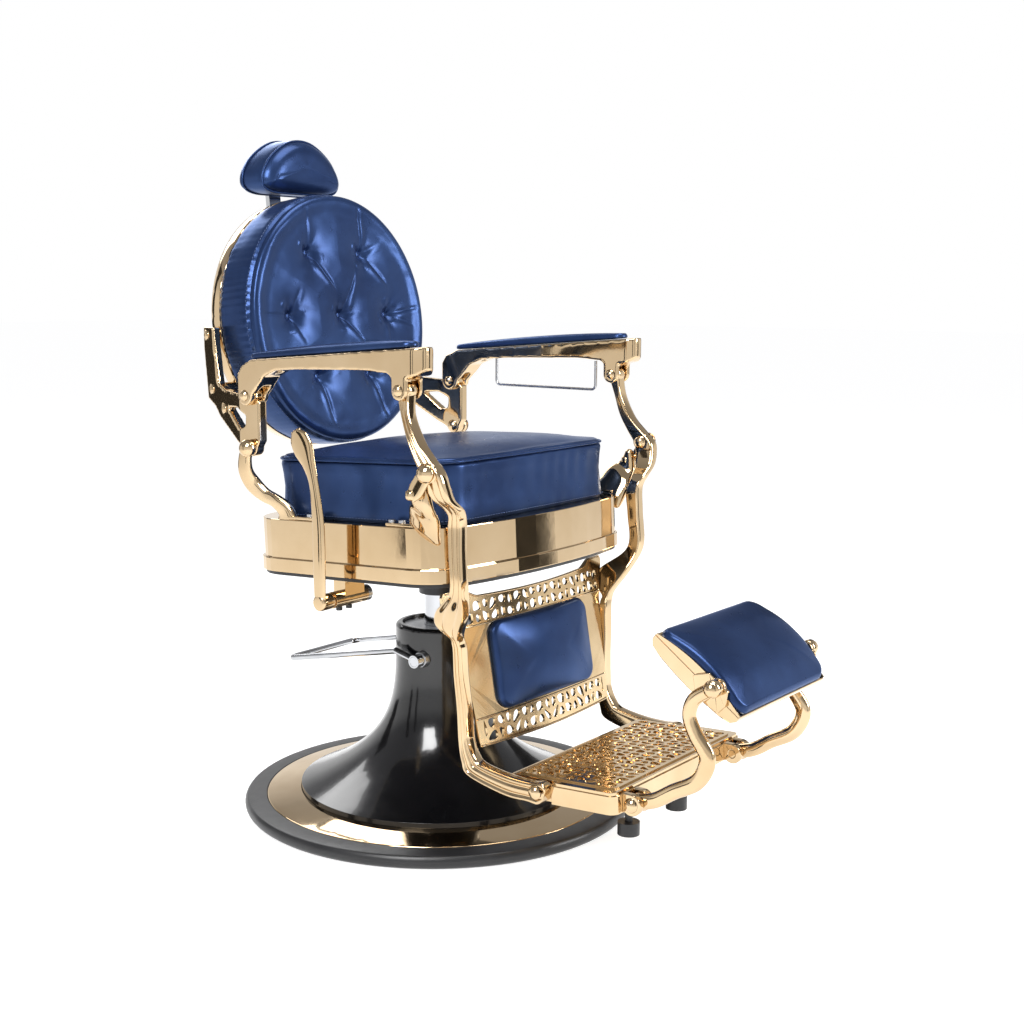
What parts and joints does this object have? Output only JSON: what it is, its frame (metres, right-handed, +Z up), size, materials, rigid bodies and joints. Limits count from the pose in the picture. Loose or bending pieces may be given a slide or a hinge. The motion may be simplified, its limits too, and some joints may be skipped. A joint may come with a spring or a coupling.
{
  "type": "barber chair",
  "caption": "Barber chair with a round tufted back, linked reclining armrests and legs, hydraulic lift, headrest and flip-over calf pad.",
  "frame": {"origin": "centre of the round base on the floor", "axes": "+Z up; the sitter faces -Y; +X is the sitter's left"},
  "size_m": [0.6599, 1.0587, 1.123],
  "materials": {
    "floor_rubber": "satin black moulded rubber",
    "black_steel": "satin black paint",
    "gloss_black": "deep gloss black enamel",
    "gold_chrome": "polished champagne gold plate",
    "steel": "plain machined steel",
    "chrome": "polished chrome",
    "navy_vinyl": "pearly navy blue vinyl, fine grain, soft satin",
    "plywood": "bare plywood",
    "black_plastic": "matte black moulding"
  },
  "bodies": {
    "base": {"floor_ring": "floor_rubber", "base_plate": "black_steel", "trim_ring": "gold_chrome", "bell_cover": "gloss_black", "pump_cylinder": "steel", "column_cap": "steel", "pedal_bushes": "steel"},
    "pedal": {"pedal_shaft": "chrome", "pedal_loop": "chrome"},
    "lift": {"piston": "chrome"},
    "seat": {"swivel_hub": "black_steel", "seat_underframe": "black_steel", "hub_bolts": "steel", "skirt_band": "gold_chrome", "seat_board": "plywood", "seat_cushion": "navy_vinyl", "front_bracket_left": "gold_chrome", "front_bracket_right": "gold_chrome", "rear_bracket_left": "gold_chrome", "rear_bracket_right": "gold_chrome", "bracket_bolts": "steel", "knuckle_pins": "gold_chrome", "shaft_bearings": "gold_chrome", "lever_set_bolts": "black_steel", "recline_lock": "steel"},
    "lever": {"recline_lever": "gold_chrome", "lever_shaft": "steel"},
    "back": {"back_bracket_left": "gold_chrome", "back_bracket_right": "gold_chrome", "back_shell": "gold_chrome", "back_board": "plywood", "back_cushion": "navy_vinyl", "back_buttons": "navy_vinyl", "back_bolts": "gold_chrome", "headrest_socket": "gold_chrome", "headrest_knob": "black_plastic"},
    "headrest_slide": {"headrest_stem": "chrome"},
    "headrest": {"headrest_mount": "steel", "headrest_pad": "navy_vinyl"},
    "armrest_left": {"armrest_frame_left": "gold_chrome", "armrest_pad_left": "navy_vinyl", "arm_pins_left": "gold_chrome", "towel_bar": "steel"},
    "armrest_right": {"armrest_frame_right": "gold_chrome", "armrest_pad_right": "navy_vinyl", "arm_pins_right": "gold_chrome"},
    "legs": {"leg_left": "gold_chrome", "leg_right": "gold_chrome", "leg_panel": "gold_chrome", "leg_panel_pad": "navy_vinyl", "footrest_plate": "gold_chrome", "footrest_bolts": "gold_chrome", "rubber_feet": "floor_rubber", "flip_collars": "gold_chrome", "flip_hinge_pins": "gold_chrome"},
    "flip_arms": {"flip_arm_left": "gold_chrome", "flip_arm_right": "gold_chrome"},
    "flip_pad_body": {"flip_pad_shell": "gold_chrome", "flip_pad": "navy_vinyl", "flip_pivot_bolts": "gold_chrome"}
  },
  "joints": [
    {"name": "lift_slide", "type": "slide", "parent": "base", "child": "lift", "axis": [0, 0, 1], "range_m": [-0.045, 0.105]},
    {"name": "swivel", "type": "hinge", "parent": "lift", "child": "seat", "pos_m": [0, 0, 0.404], "axis": [0, 0, 1], "range_deg": [-105, 105]},
    {"name": "pedal_pump", "type": "hinge", "parent": "base", "child": "pedal", "pos_m": [0, -0.022, 0.262], "axis": [-1, 0, 0], "range_deg": [0, 20], "stiffness_Nm_per_rad": 12, "springref_deg": -8.59},
    {"name": "recline_lever_turn", "type": "hinge", "parent": "seat", "child": "lever", "pos_m": [-0.292, -0.005, 0.392], "axis": [-1, 0, 0], "range_deg": [0, 25], "stiffness_Nm_per_rad": 4, "springref_deg": -11.46},
    {"name": "back_recline", "type": "hinge", "parent": "seat", "child": "back", "pos_m": [0, 0.17, 0.616], "axis": [-1, 0, 0], "range_deg": [0, 45]},
    {"name": "armrest_left_turn", "type": "hinge", "parent": "back", "child": "armrest_left", "pos_m": [0.2555, 0.1705, 0.7], "axis": [-1, 0, 0], "range_deg": [-49.95, 0]},
    {"name": "armrest_right_turn", "type": "hinge", "parent": "back", "child": "armrest_right", "pos_m": [-0.2555, 0.1705, 0.7], "axis": [-1, 0, 0], "range_deg": [-49.95, 0]},
    {"name": "leg_swing", "type": "hinge", "parent": "seat", "child": "legs", "pos_m": [0, -0.222, 0.609], "axis": [-1, 0, 0], "range_deg": [0, 36.23]},
    {"name": "headrest_height", "type": "slide", "parent": "back", "child": "headrest_slide", "axis": [0, 0.1045, 0.9945], "range_m": [0, 0.06]},
    {"name": "headrest_tilt", "type": "hinge", "parent": "headrest_slide", "child": "headrest", "pos_m": [0, 0.38477, 1.06737], "axis": [-1, 0, 0], "range_deg": [0, 25]},
    {"name": "flip_swing", "type": "hinge", "parent": "legs", "child": "flip_arms", "pos_m": [0, -0.492, 0.141], "axis": [-1, 0, 0], "range_deg": [0, 65]},
    {"name": "flip_pad_tilt", "type": "hinge", "parent": "flip_arms", "child": "flip_pad_body", "pos_m": [0, -0.609, 0.328], "axis": [1, 0, 0], "range_deg": [-30, 40]}
  ],
  "couplings": [
    {"joint": "armrest_left_turn", "follows": "back_recline", "ratio": -1.11},
    {"joint": "armrest_right_turn", "follows": "back_recline", "ratio": -1.11},
    {"joint": "leg_swing", "follows": "back_recline", "ratio": 0.805}
  ]
}
